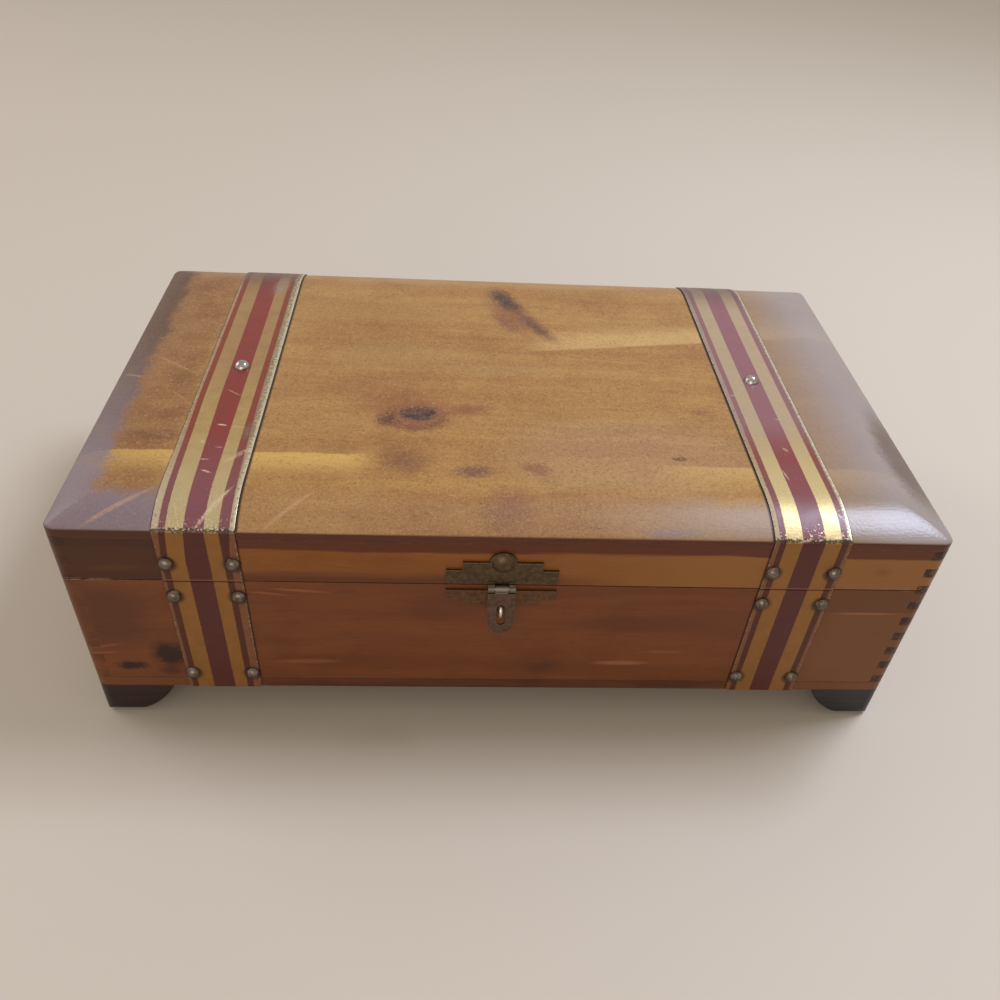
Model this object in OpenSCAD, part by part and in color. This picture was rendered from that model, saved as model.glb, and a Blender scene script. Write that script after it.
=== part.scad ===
// A finger-jointed cedar ditty box: a shallow case sawn into base and lid, with a pillowed
// lid board, two striped metal straps, a stepped hasp, two hinges and four bracket feet.
// Millimetres, +Z up, front face towards -Y. The origin is on the floor, under the middle
// of the overall size, from the tip of the loose hasp tongue to the hinge knuckles.

/* [Frame] */
// Distance of the case's middle behind the origin
stand_y = 2.3; // [0:0.1:5]

/* [Case] */
// Width of the case, left to right
case_w = 280; // [220:1:360]
// Depth of the case, front to back
case_d = 168; // [130:1:240]
// Height of the case without its feet, from its underside to the top of the lid
case_h = 77.2; // [68:0.1:110]
// Height of the saw cut between base and lid, above the underside of the case
seam_h = 51.9; // [42:0.1:55]
// Gap that the saw cut leaves while the lid is shut
seam_gap = 0.4; // [0.2:0.1:0.8]
// Thickness of the front, back and side boards
board_t = 6; // [5.6:0.1:9]
// Thickness of the board under the base
floor_t = 4.6; // [3:0.1:6]
// Thickness of the board on top of the lid
top_t = 7.8; // [7:0.1:10]
// Rounding of the four upright corners
corner_r = 4; // [1:0.5:5]

/* [Finger joints] */
// Number of fingers up one corner, base and lid together
finger_count = 17; // [9:2:25]

/* [Pillowed lid board] */
// Width of the round-over along each edge of the lid board
pillow_reach = 18; // [8:0.5:30]
// Drop of the round-over where it meets the upright edge
pillow_drop = 4.6; // [2:0.1:5.5]

/* [Feet] */
// Height of a foot
foot_h = 15.2; // [8:0.1:25]
// Length of a foot's top along each side of the case
foot_len = 26.5; // [20:0.5:45]
// Length of a foot's flat sole
foot_sole = 8.5; // [5:0.5:15]
// Radius of the curve that sweeps up from the sole
foot_curve_r = 28; // [22:0.5:80]
// Rounding of the outer edge of the sole
foot_edge_r = 3.5; // [1:0.5:4]

/* [Straps] */
// Width of a strap
strap_w = 24.6; // [18:0.1:32]
// Thickness of the strap metal
strap_t = 0.4; // [0.3:0.1:0.8]
// Distance from the end of the case to the outer edge of a strap
strap_inset = 33; // [28:0.5:45]
// Offset of both straps' middle from the middle of the case, positive to the right
strap_shift = -0.8; // [-3:0.1:3]
// Clearance between the strap and the wood under it
strap_seat = 0.05; // [0.02:0.01:0.2]

/* [Strap nails] */
// Diameter of a nail's domed head
nail_head_d = 4.8; // [3:0.1:6]
// Height of a nail's head
nail_head_h = 1.9; // [0.8:0.1:2.2]
// Diameter of a nail's shank
nail_shank_d = 1.3; // [1:0.1:2]
// Length of a nail under its head
nail_len = 5.2; // [3:0.1:5.5]
// Distance between the two nails in a row across a strap
nail_spread = 20.2; // [14:0.1:22]
// Height of the lid's nails above the seam
nail_above_seam = 7.8; // [5:0.1:10]
// Depth of the base's upper nails below the seam
nail_below_seam = 6.4; // [4:0.1:12]
// Height of the base's lower nails above the underside of the case
nail_low = 7.8; // [7:0.1:14]

/* [Top studs] */
// Diameter of the domed stud in the middle of each strap
stud_head_d = 5.6; // [4:0.1:8]
// Height of a stud's head
stud_head_h = 2.3; // [1:0.1:3]
// Diameter of a stud's shank
stud_shank_d = 1.8; // [1.2:0.1:3]
// Length of a stud under its head
stud_len = 6.4; // [4:0.1:6.6]

/* [Hasp] */
// Place of the hasp, measured from the middle of the front
hasp_x = -2.2; // [-20:0.1:20]
// Thickness of the hasp's two plates
plate_t = 0.9; // [0.6:0.1:1]
// Width of the long step of each plate
plate_w = 35.6; // [30:0.1:50]
// Width of the short step of each plate
plate_step_w = 25.2; // [18:0.1:28]
// Height of the upper plate's long step above the hasp pin
upper_step_1 = 6.9; // [5:0.1:8]
// Height of the upper plate's short step above the hasp pin
upper_step_2 = 10.3; // [8.5:0.1:12]
// Depth of the lower plate's long step below the hasp pin
lower_step_1 = 5.9; // [4:0.1:6.4]
// Depth of the lower plate's short step below the hasp pin
lower_step_2 = 8.2; // [6.9:0.1:9.5]
// Radius of the round lobe in the middle of each plate
lobe_r = 4.4; // [4:0.1:5]
// Diameter of the dome pressed into the upper lobe
boss_d = 7.2; // [5:0.1:7.6]
// Height of that dome
boss_h = 1.8; // [1:0.1:2]
// Distance of the hasp pin in front of the wood
pin_out = 1.9; // [1.8:0.05:2.5]
// Radius of the hasp knuckles
knuckle_r = 1.25; // [1.1:0.05:1.3]
// Width of the tongue, and of its three knuckles together
tongue_w = 8.8; // [7.5:0.1:12]
// Width of the tongue's own knuckle
tongue_knuckle_w = 4.2; // [3:0.1:5]
// Thickness of the tongue
tongue_t = 1; // [0.8:0.1:1]
// Length of the tongue from the pin to its round end
tongue_len = 15.4; // [15:0.1:20]
// Width of the slot in the tongue
slot_w = 3; // [2.6:0.1:4]
// Distance from the pin to the middle of the slot and of the staple
slot_mid = 9; // [8.5:0.1:10]
// Length of the slot
slot_len = 7; // [6.6:0.1:8]
// Diameter of the staple's wire
staple_wire_d = 1.5; // [1:0.1:1.8]
// Distance between the middles of the staple's two legs
staple_pitch = 4.4; // [3.6:0.1:4.6]
// Length of the staple's straight legs in front of the wood
staple_straight = 2.4; // [1.8:0.1:2.6]
// Length of the staple's legs inside the wood
staple_grip = 4.6; // [3:0.1:5.2]
// Angle at which the loose tongue stands off the staple
tongue_rest_angle = 22; // [22:1:40]
// Diameter of the hasp pin
hasp_pin_d = 1; // [0.8:0.05:1.2]

/* [Hinges] */
// Distance from the middle of the back to the middle of each hinge
hinge_x = 52; // [30:1:60]
// Width of a hinge
hinge_w = 24; // [18:0.5:34]
// Height of a hinge leaf, measured from the pin
leaf_h = 12; // [10:0.1:15]
// Thickness of a hinge leaf
leaf_t = 0.8; // [0.6:0.1:1]
// Distance of the hinge pin behind the wood
hinge_out = 2; // [2:0.05:3]
// Radius of the hinge knuckles
hinge_knuckle_r = 1.7; // [1.4:0.05:1.7]
// Width of the lid leaf's middle knuckle
hinge_mid_w = 8; // [5:0.1:12]
// Diameter of the hinge pin
hinge_pin_d = 1.4; // [1:0.05:1.6]
// Diameter of a hinge nail's head
hinge_nail_head_d = 2.8; // [2:0.1:4]
// Height of a hinge nail's head
hinge_nail_head_h = 0.7; // [0.4:0.1:1]
// Distance between the two nails of one leaf
hinge_nail_spread = 15; // [10:0.5:16]
// Distance of a leaf's nails from the pin
hinge_nail_row = 7.4; // [5:0.1:9]
// Length of a hinge nail under its head
hinge_nail_len = 4.8; // [3:0.1:5.5]

/* [Clearances] */
// Radial clearance of a shank, leg or prong in its hole
hole_gap = 0.05; // [0.03:0.01:0.1]
// Gap between neighbouring knuckles along a pin
knuckle_gap = 0.15; // [0.1:0.05:0.3]

/* [Hidden] */
$fn = 64;

// Colours of the photographed finishes
cedar = "#8a4f2a";
cedar_amber = "#b9813f";
foot_stain = "#1f1714";
strap_paint = "#7c2f31";
bronze = "#4a4237";
bright_steel = "#c9c8c4";
brass = "#9c8250";

// Heights of the case above the floor
case_z = foot_h;
seam_z = case_z + seam_h;
base_rim_z = seam_z - seam_gap / 2;
lid_rim_z = seam_z + seam_gap / 2;
frame_low_z = case_z + floor_t;
frame_high_z = case_z + case_h - top_t;
top_z = case_z + case_h;
finger_h = (frame_high_z - frame_low_z) / finger_count;

// The round-over is an arc that passes the edge and runs into the flat top. Its centre is
// lifted a hair, so that the arc crosses the flat instead of only touching it.
pillow_r = (pillow_reach * pillow_reach + pillow_drop * pillow_drop) / (2 * pillow_drop);
hair = 0.01;

strap_x = case_w / 2 - strap_inset - strap_w / 2;
strap_face = case_d / 2 + strap_seat + strap_t;
point_len = 1.2;
over = 1;

hasp_y = -case_d / 2 - pin_out;
plate_gap_to_pin = 1.3;
lower_gap_to_pin = 1.9;
tongue_inner = 0.8;
tongue_shoulder = knuckle_r + 0.4;
prong_d = 1.4;
prong_len = 4;
prong_x = plate_step_w / 2 - 1.6;
upper_prong_z = (plate_gap_to_pin + upper_step_1) / 2;
lower_prong_z = -(lower_gap_to_pin + lower_step_1) / 2;
upper_lobe_z = upper_step_2 - 0.3;
hinge_y = case_d / 2 + hinge_out;
leaf_clear = hinge_knuckle_r + 0.3;

// Plan outline of the case. The round of each upright corner crosses the flat faces by a hair,
// so that it cuts them cleanly instead of only touching them.
module case_outline() {
    intersection() {
        square([case_w, case_d], center = true);
        union() {
            square([case_w - 2 * corner_r, case_d], center = true);
            square([case_w, case_d - 2 * corner_r], center = true);
            for (x = [-1, 1])
                for (y = [-1, 1])
                    translate([x * (case_w / 2 - corner_r), y * (case_d / 2 - corner_r)])
                        circle(corner_r + hair);
        }
    }
}

module case_block(low, high) {
    translate([0, 0, low])
        linear_extrude(high - low) case_outline();
}

// Fingers are counted from the bottom. Even ones belong to the side boards and odd ones to
// the front and back boards; each board is a slab without the other boards' fingers.
module finger_cuts(first, x_low, x_size, y_low, y_size) {
    for (i = [first:2:finger_count - 1])
        translate([x_low, y_low, frame_low_z + i * finger_h])
            cube([x_size, y_size, finger_h]);
}

module long_board(low, high) {
    intersection() {
        case_block(low, high);
        difference() {
            translate([-case_w / 2, -case_d / 2, low])
                cube([case_w, board_t, high - low]);
            for (end = [0, 1])
                mirror([end, 0, 0])
                    finger_cuts(0, case_w / 2 - board_t, board_t + over,
                        -case_d / 2 - over, board_t + 2 * over);
        }
    }
}

module side_board(low, high) {
    intersection() {
        case_block(low, high);
        difference() {
            translate([-case_w / 2, -case_d / 2, low])
                cube([board_t, case_d, high - low]);
            for (end = [0, 1])
                mirror([0, end, 0])
                    finger_cuts(1, -case_w / 2 - over, board_t + 2 * over,
                        case_d / 2 - board_t, board_t + over);
        }
    }
}

// Half section of a nail or stud: a domed head on z = 0 and a pointed shank below it
module nail(head_d, head_h, shank_d, len) {
    dome_r = (head_d * head_d / 4 + head_h * head_h) / (2 * head_h);
    rotate_extrude() {
        intersection() {
            translate([0, head_h - dome_r]) circle(dome_r);
            square([head_d, head_h]);
        }
        polygon([
            [0, -len], [shank_d / 2, point_len - len],
            [shank_d / 2, head_h / 4], [0, head_h / 4]
        ]);
    }
}

// Puts what stands on z = 0 and points up onto the front face, pointing out of it
module out_of_front(x, y, z) {
    translate([x, y, z])
        rotate([90, 0, 0]) children();
}

// Two nails across each strap at one height
module strap_rows(z) {
    for (side = [-1, 1])
        for (end = [-1, 1])
            out_of_front(strap_shift + side * strap_x + end * nail_spread / 2,
                    -strap_face, z)
                children();
}

module strap_nail() {
    nail(nail_head_d, nail_head_h, nail_shank_d, nail_len);
}

// The hole of a strap nail, through the strap and into the board
module nail_hole() {
    translate([0, 0, -nail_len - hole_gap])
        cylinder(d = nail_shank_d + 2 * hole_gap, h = nail_len + over);
}

module stud_places() {
    for (side = [-1, 1])
        translate([strap_shift + side * strap_x, 0, top_z + strap_seat + strap_t])
            children();
}

module stud_hole() {
    translate([0, 0, -stud_len - hole_gap])
        cylinder(d = stud_shank_d + 2 * hole_gap, h = stud_len + over);
}

// Places of a hinge leaf's nails: dir is 1 on the lid and -1 on the base
module hinge_nail_places(dir) {
    for (side = [-1, 1])
        for (end = [-1, 1])
            translate([side * hinge_x + end * hinge_nail_spread / 2,
                    case_d / 2 + leaf_t, seam_z + dir * hinge_nail_row])
                rotate([-90, 0, 0]) children();
}

module hinge_nail() {
    nail(hinge_nail_head_d, hinge_nail_head_h, nail_shank_d, hinge_nail_len);
}

module hinge_nail_hole() {
    translate([0, 0, -hinge_nail_len - hole_gap])
        cylinder(d = nail_shank_d + 2 * hole_gap, h = hinge_nail_len + over);
}

// Two prongs behind a hasp plate, at a height from the pin; grow widens them into holes
module prongs(height, grow) {
    for (end = [-1, 1])
        translate([hasp_x + end * prong_x, -case_d / 2 - plate_t / 2, seam_z + height])
            rotate([-90, 0, 0])
                cylinder(d = prong_d + 2 * grow, h = plate_t / 2 + prong_len + grow);
}

module staple_legs(grow) {
    for (end = [-1, 1])
        out_of_front(hasp_x, -case_d / 2 + staple_grip + grow,
                seam_z - slot_mid + end * staple_pitch / 2)
            cylinder(d = staple_wire_d + 2 * grow,
                h = staple_grip + grow + staple_straight);
}

module base_floor() {
    color(cedar)
        case_block(case_z, frame_low_z);
}

module base_front() {
    color(cedar)
        difference() {
            long_board(frame_low_z, base_rim_z);
            strap_rows(seam_z - nail_below_seam) nail_hole();
            strap_rows(case_z + nail_low) nail_hole();
            prongs(lower_prong_z, hole_gap);
            staple_legs(hole_gap);
        }
}

module base_back() {
    color(cedar)
        difference() {
            mirror([0, 1, 0]) {
                difference() {
                    long_board(frame_low_z, base_rim_z);
                    strap_rows(seam_z - nail_below_seam) nail_hole();
                    strap_rows(case_z + nail_low) nail_hole();
                }
            }
            hinge_nail_places(-1) hinge_nail_hole();
        }
}

module base_left() {
    color(cedar)
        side_board(frame_low_z, base_rim_z);
}

module base_right() {
    mirror([1, 0, 0]) base_left();
}

module lid_front() {
    color(cedar_amber)
        difference() {
            long_board(lid_rim_z, frame_high_z);
            strap_rows(seam_z + nail_above_seam) nail_hole();
            prongs(upper_prong_z, hole_gap);
        }
}

module lid_back() {
    color(cedar_amber)
        difference() {
            mirror([0, 1, 0]) {
                difference() {
                    long_board(lid_rim_z, frame_high_z);
                    strap_rows(seam_z + nail_above_seam) nail_hole();
                }
            }
            hinge_nail_places(1) hinge_nail_hole();
        }
}

module lid_left() {
    color(cedar)
        side_board(lid_rim_z, frame_high_z);
}

module lid_right() {
    mirror([1, 0, 0]) lid_left();
}

// Cross-section of the lid from its rim to its pillowed top. span is the case's width or
// depth, and grow moves every outer face outwards, for what lies over the wood.
module pillow_section(span, low, grow) {
    centre = span / 2 - pillow_reach;
    difference() {
        translate([-span / 2 - grow, low])
            square([span + 2 * grow, top_z + grow - low]);
        for (end = [0, 1])
            mirror([end, 0])
                difference() {
                    translate([centre, top_z - pillow_drop - over])
                        square([pillow_reach + grow + over, pillow_drop + grow + 2 * over]);
                    translate([centre, top_z - pillow_r + hair])
                        circle(pillow_r + grow, $fn = 360);
                }
    }
}

// Runs a section drawn in Y and Z along X, centred on the middle
module along_x(len) {
    rotate([90, 0, 90])
        translate([0, 0, -len / 2])
            linear_extrude(len) children();
}

module along_y(len) {
    rotate([90, 0, 0])
        translate([0, 0, -len / 2])
            linear_extrude(len) children();
}

// The lid board: two pillow sections crossed, so that the round-overs meet in four hips
module lid_board() {
    color(cedar_amber)
        difference() {
            intersection() {
                case_block(frame_high_z, top_z + over);
                along_x(case_w + 2 * over) pillow_section(case_d, frame_high_z, 0);
                along_y(case_d + 2 * over) pillow_section(case_w, frame_high_z, 0);
            }
            stud_places() stud_hole();
        }
}

// A lid strap runs up the front, over the pillowed top and down the back
module lid_strap(side) {
    color(strap_paint)
        difference() {
            translate([strap_shift + side * strap_x, 0, 0])
                along_x(strap_w)
                    difference() {
                        pillow_section(case_d, lid_rim_z, strap_seat + strap_t);
                        pillow_section(case_d, lid_rim_z - over, strap_seat);
                    }
            for (face = [0, 1])
                mirror([0, face, 0])
                    strap_rows(seam_z + nail_above_seam) nail_hole();
            stud_places() stud_hole();
        }
}

// A base strap runs from the rim to the underside of the case
module base_strap_front(side) {
    color(strap_paint)
        difference() {
            translate([strap_shift + side * strap_x - strap_w / 2, -strap_face, case_z])
                cube([strap_w, strap_t, base_rim_z - case_z]);
            strap_rows(seam_z - nail_below_seam) nail_hole();
            strap_rows(case_z + nail_low) nail_hole();
        }
}

module base_strap_back(side) {
    mirror([0, 1, 0]) base_strap_front(side);
}

module base_front_nails() {
    color(bronze) {
        strap_rows(seam_z - nail_below_seam) strap_nail();
        strap_rows(case_z + nail_low) strap_nail();
    }
}

module base_back_nails() {
    mirror([0, 1, 0]) base_front_nails();
}

module lid_front_nails() {
    color(bronze)
        strap_rows(seam_z + nail_above_seam) strap_nail();
}

module lid_back_nails() {
    mirror([0, 1, 0]) lid_front_nails();
}

module strap_studs() {
    color(bright_steel)
        stud_places() nail(stud_head_d, stud_head_h, stud_shank_d, stud_len);
}

// Side view of a foot: u runs in from the outer face, and the foot stands on the floor.
// An arc of foot_curve_r goes from the end of the sole to the end of the top.
module foot_side() {
    run = foot_len - foot_sole;
    chord = sqrt(run * run + foot_h * foot_h);
    away = sqrt(foot_curve_r * foot_curve_r - chord * chord / 4);
    intersection() {
        polygon([
            for (a = [0:15:90]) [foot_edge_r * (1 - cos(a)), foot_edge_r * (1 - sin(a))],
            [foot_len + over, 0],
            [foot_len + over, foot_h],
            [0, foot_h]
        ]);
        translate([(foot_sole + foot_len) / 2 - away * foot_h / chord,
                foot_h / 2 + away * run / chord])
            circle(foot_curve_r, $fn = 180);
    }
}

// A foot is a corner block whose side view is the same along both sides of the case
module foot_front_left() {
    color(foot_stain)
        intersection() {
            case_block(0, foot_h);
            translate([-case_w / 2, -case_d / 2 + foot_len, 0])
                rotate([90, 0, 0])
                    linear_extrude(foot_len + over) foot_side();
            translate([-case_w / 2 - over, -case_d / 2, 0])
                rotate([90, 0, 90])
                    linear_extrude(foot_len + over) foot_side();
        }
}

module foot_front_right() {
    mirror([1, 0, 0]) foot_front_left();
}

module foot_back_left() {
    mirror([0, 1, 0]) foot_front_left();
}

module foot_back_right() {
    mirror([1, 0, 0]) foot_back_left();
}

// Outline of the upper plate: a long step, a short step and a round lobe, from the pin up
module upper_outline() {
    translate([-plate_w / 2, plate_gap_to_pin])
        square([plate_w, upper_step_1 - plate_gap_to_pin]);
    translate([-plate_step_w / 2, plate_gap_to_pin])
        square([plate_step_w, upper_step_2 - plate_gap_to_pin]);
    translate([0, upper_lobe_z])
        circle(lobe_r);
}

// Outline of the lower plate, the same steps downwards, with a lobe under the staple
module lower_outline() {
    lobe_z = slot_mid + staple_pitch / 2 - 1.7;
    translate([-plate_w / 2, -lower_step_1])
        square([plate_w, lower_step_1 - lower_gap_to_pin]);
    translate([-plate_step_w / 2, -lower_step_2])
        square([plate_step_w, lower_step_2 - lower_gap_to_pin]);
    translate([-lobe_r, -lobe_z])
        square([2 * lobe_r, lobe_z - lower_gap_to_pin]);
    translate([0, -lobe_z])
        circle(lobe_r);
}

module hasp_plate() {
    out_of_front(hasp_x, -case_d / 2, seam_z)
        linear_extrude(plate_t) children();
}

// A knuckle of the hasp, centred on x and w wide
module hasp_knuckle(x, w) {
    translate([hasp_x + x - w / 2, hasp_y, seam_z])
        rotate([0, 90, 0])
            cylinder(r = knuckle_r, h = w);
}

module hasp_bore() {
    translate([hasp_x - tongue_w / 2 - over, hasp_y, seam_z])
        rotate([0, 90, 0])
            cylinder(d = hasp_pin_d + 2 * hole_gap, h = tongue_w + 2 * over);
}

module hasp_upper_plate() {
    ear_w = (tongue_w - tongue_knuckle_w) / 2 - knuckle_gap;
    boss_r = (boss_d * boss_d / 4 + boss_h * boss_h) / (2 * boss_h);
    color(bronze)
        difference() {
            union() {
                hasp_plate() upper_outline();
                for (end = [-1, 1]) {
                    ear_x = end * (tongue_w - ear_w) / 2;
                    hasp_knuckle(ear_x, ear_w);
                    translate([hasp_x + ear_x - ear_w / 2, hasp_y, seam_z + seam_gap])
                        cube([ear_w, pin_out, plate_gap_to_pin]);
                }
                out_of_front(hasp_x, -case_d / 2 - plate_t, seam_z + upper_lobe_z)
                    rotate_extrude()
                        intersection() {
                            translate([0, boss_h - boss_r]) circle(boss_r);
                            translate([0, -plate_t / 2])
                                square([boss_d / 2, boss_h + plate_t]);
                        }
                prongs(upper_prong_z, 0);
            }
            hasp_bore();
        }
}

module hasp_pin() {
    color(bronze)
        translate([hasp_x - tongue_w / 2, hasp_y, seam_z])
            rotate([0, 90, 0])
                cylinder(d = hasp_pin_d, h = tongue_w);
}

module hasp_lower_plate() {
    color(bronze)
        difference() {
            union() {
                hasp_plate() lower_outline();
                prongs(lower_prong_z, 0);
            }
            staple_legs(hole_gap);
        }
}

// The staple: two legs in the wood and a half ring that carries them round
module hasp_staple() {
    color(bright_steel) {
        staple_legs(0);
        translate([hasp_x, -case_d / 2 - staple_straight, seam_z - slot_mid])
            rotate([0, 90, 0])
                rotate([0, 0, 180])
                    rotate_extrude(angle = 180)
                        translate([staple_pitch / 2, 0]) circle(d = staple_wire_d);
    }
}

// Outline of the tongue below its pin, with the slot that drops over the staple
module tongue_outline() {
    difference() {
        union() {
            translate([-tongue_w / 2, -tongue_len + tongue_w / 2])
                square([tongue_w, tongue_len - tongue_w / 2 - tongue_shoulder]);
            translate([0, -tongue_len + tongue_w / 2])
                circle(tongue_w / 2);
            translate([-tongue_knuckle_w / 2, -tongue_len / 2])
                square([tongue_knuckle_w, tongue_len / 2]);
        }
        for (end = [-1, 1])
            translate([0, -slot_mid + end * (slot_len - slot_w) / 2])
                circle(slot_w / 2);
        translate([-slot_w / 2, -slot_mid - (slot_len - slot_w) / 2])
            square([slot_w, slot_len - slot_w]);
    }
}

// The tongue is drawn shut against the lower plate and then swung out about its pin
module hasp_tongue() {
    color(bronze)
        translate([0, hasp_y, seam_z])
            rotate([-tongue_rest_angle, 0, 0])
                translate([0, -hasp_y, -seam_z])
                    difference() {
                        union() {
                            hasp_knuckle(0, tongue_knuckle_w);
                            out_of_front(hasp_x, hasp_y + tongue_inner, seam_z)
                                linear_extrude(tongue_t) tongue_outline();
                        }
                        hasp_bore();
                    }
}

// One hinge leaf with its knuckles: dir is 1 on the lid and -1 on the base
module hinge_leaf(side, dir) {
    outer_w = (hinge_w - hinge_mid_w) / 2 - knuckle_gap;
    spans = dir > 0
        ? [[-hinge_mid_w / 2, hinge_mid_w]]
        : [[-hinge_w / 2, outer_w], [hinge_w / 2 - outer_w, outer_w]];
    color(brass)
        difference() {
            translate([side * hinge_x, 0, seam_z])
                mirror([0, 0, dir > 0 ? 0 : 1]) {
                    translate([-hinge_w / 2, case_d / 2, leaf_clear])
                        cube([hinge_w, leaf_t, leaf_h - leaf_clear]);
                    for (span = spans) {
                        translate([span[0], case_d / 2, seam_gap])
                            cube([span[1], leaf_t, leaf_clear]);
                        translate([span[0], hinge_y, 0])
                            rotate([0, 90, 0])
                                cylinder(r = hinge_knuckle_r, h = span[1]);
                    }
                }
            hinge_nail_places(dir) hinge_nail_hole();
            translate([side * hinge_x - hinge_w / 2 - over, hinge_y, seam_z])
                rotate([0, 90, 0])
                    cylinder(d = hinge_pin_d + 2 * hole_gap, h = hinge_w + 2 * over);
        }
}

module hinge_pin(side) {
    color(brass)
        translate([side * hinge_x - hinge_w / 2, hinge_y, seam_z])
            rotate([0, 90, 0])
                cylinder(d = hinge_pin_d, h = hinge_w);
}

module hinge_base_nails() {
    color(brass)
        hinge_nail_places(-1) hinge_nail();
}

module hinge_lid_nails() {
    color(brass)
        hinge_nail_places(1) hinge_nail();
}

// Moves the case back from the origin
module stand() {
    translate([0, stand_y, 0]) children();
}

stand() base_floor();
stand() base_front();
stand() base_back();
stand() base_left();
stand() base_right();
stand() foot_front_left();
stand() foot_front_right();
stand() foot_back_left();
stand() foot_back_right();
stand() base_strap_front(-1);  // base_strap_front_left
stand() base_strap_front(1);  // base_strap_front_right
stand() base_strap_back(-1);  // base_strap_back_left
stand() base_strap_back(1);  // base_strap_back_right
stand() base_front_nails();
stand() base_back_nails();
stand() lid_board();
stand() lid_front();
stand() lid_back();
stand() lid_left();
stand() lid_right();
stand() lid_strap(-1);  // lid_strap_left
stand() lid_strap(1);  // lid_strap_right
stand() lid_front_nails();
stand() lid_back_nails();
stand() strap_studs();
stand() hasp_upper_plate();
stand() hasp_pin();
stand() hasp_tongue();
stand() hasp_lower_plate();
stand() hasp_staple();
stand() hinge_leaf(-1, -1);  // hinge_base_leaf_left
stand() hinge_leaf(1, -1);  // hinge_base_leaf_right
stand() hinge_leaf(-1, 1);  // hinge_lid_leaf_left
stand() hinge_leaf(1, 1);  // hinge_lid_leaf_right
stand() hinge_pin(-1);  // hinge_pin_left
stand() hinge_pin(1);  // hinge_pin_right
stand() hinge_base_nails();
stand() hinge_lid_nails();
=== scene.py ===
import math

import bpy
import numpy as np
from mathutils import Matrix, Vector


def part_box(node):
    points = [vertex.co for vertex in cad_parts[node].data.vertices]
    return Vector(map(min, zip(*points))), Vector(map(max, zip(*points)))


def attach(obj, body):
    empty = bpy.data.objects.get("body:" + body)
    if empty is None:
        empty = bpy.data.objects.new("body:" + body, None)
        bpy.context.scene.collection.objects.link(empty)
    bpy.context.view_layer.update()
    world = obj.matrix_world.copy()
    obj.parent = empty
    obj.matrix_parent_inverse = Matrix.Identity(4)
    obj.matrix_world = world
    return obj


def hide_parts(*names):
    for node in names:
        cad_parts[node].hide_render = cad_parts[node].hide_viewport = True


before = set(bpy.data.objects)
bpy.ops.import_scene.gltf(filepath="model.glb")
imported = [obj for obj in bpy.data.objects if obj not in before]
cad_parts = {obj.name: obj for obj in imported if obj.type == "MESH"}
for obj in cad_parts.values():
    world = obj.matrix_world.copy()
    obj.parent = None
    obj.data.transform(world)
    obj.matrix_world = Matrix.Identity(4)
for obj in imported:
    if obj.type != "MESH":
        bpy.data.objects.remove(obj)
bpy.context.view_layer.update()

# Metres throughout, +Z up, front face towards -Y, in the frame of the solids. Pieces made
# here stand at the origin, unturned and unscaled, with their place in their points.


def extent(node):
    """Lowest and highest corner of a solid as arrays."""
    low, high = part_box(node)
    return np.array(low), np.array(high)


BOARD_LOW, BOARD_HIGH = extent("lid_board")
HALF_X = BOARD_HIGH[0]
HALF_Y = (BOARD_HIGH[1] - BOARD_LOW[1]) / 2
MID_Y = (BOARD_HIGH[1] + BOARD_LOW[1]) / 2
TOP_Z = BOARD_HIGH[2]
LID_RIM_Z = extent("lid_front")[0][2]
BASE_RIM_Z = extent("base_front")[1][2]
CASE_LOW_Z = extent("base_floor")[0][2]
STRAP_X = [(low[0] + high[0]) / 2 for low, high in map(extent, ("lid_strap_left", "lid_strap_right"))]
STRAP_W = extent("lid_strap_left")[1][0] - extent("lid_strap_left")[0][0]

# Plan radius of the case's corners, and the least one on an inset line.
CORNER, LEAST_CORNER = 0.004, 0.0004
# The lid's round-over: how far in and down it goes, its arc's radius, its worn lower edge.
PILLOW_REACH = 0.018
PILLOW_DROP = 0.0046
PILLOW_ARC = (PILLOW_REACH**2 + PILLOW_DROP**2) / (2 * PILLOW_DROP)
WORN_EDGE = 0.0008
# A strap's clearance over the wood, its metal, the roll of its long edges, its slack.
STRAP_SEAT = 0.00005
STRAP_T = 0.0004
STRAP_ROLL = 0.00022
STRAP_SLACK = 0.00004
# Its face waves along, across and aslant by these radians a metre, shifted from strap to strap.
WAVE_ALONG, WAVE_ACROSS, WAVE_ASLANT, WAVE_SHIFT = 210, 160, 60, 90
# How wide and how deep a driven head dents the strap round it.
DENT_REACH, DENT_DEPTH = 0.0034, 0.00009
NAIL_HEAD, NAIL_RISE = 0.0048, 0.0019
STUD_HEAD, STUD_RISE = 0.0056, 0.0023
# A head's rim goes this far into what it sits on. Round the rim: its points, and its waves as
# how many there are and how far they swell. Its flats: degrees of lean, and share of the ball.
HEAD_SUNK = 0.0002
RIM_POINTS, RIM_WAVES = 40, ((2, 0.025), (3, 0.02))
FLAT_LEAN, FLAT_DEPTH = (12, 34), (0.965, 0.985)
# Points along the case's front, right, back and left runs, and round each of its corners.
RUN_POINTS, CORNER_POINTS = (72, 44, 72, 44), 9
# The lid's loops round its worn edge and up its arc, which end this far past the arc. A strap's
# points up the lid's front, round the worn edge, along the arc and to the middle of the top.
EDGE_LOOPS, ARC_LOOPS, ARC_PAST = 6, 24, 0.001
FRONT_POINTS, EDGE_POINTS, ARC_POINTS, TOP_POINTS = 16, 7, 22, 24


def middles(node, axis, gap=0.003):
    """Middles of a node's separate bodies along one axis, parted where no point lies for a gap."""
    reach = np.unique([v.co[axis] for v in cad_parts[node].data.vertices])
    runs = np.split(reach, np.flatnonzero(np.diff(reach) > gap) + 1)
    return [(run[0] + run[-1]) / 2 for run in runs]


NAIL_ROWS = middles("base_front_nails", 2) + middles("lid_front_nails", 2)
NAIL_SPREAD = middles("lid_front_nails", 0)[1] - STRAP_X[0]
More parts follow.
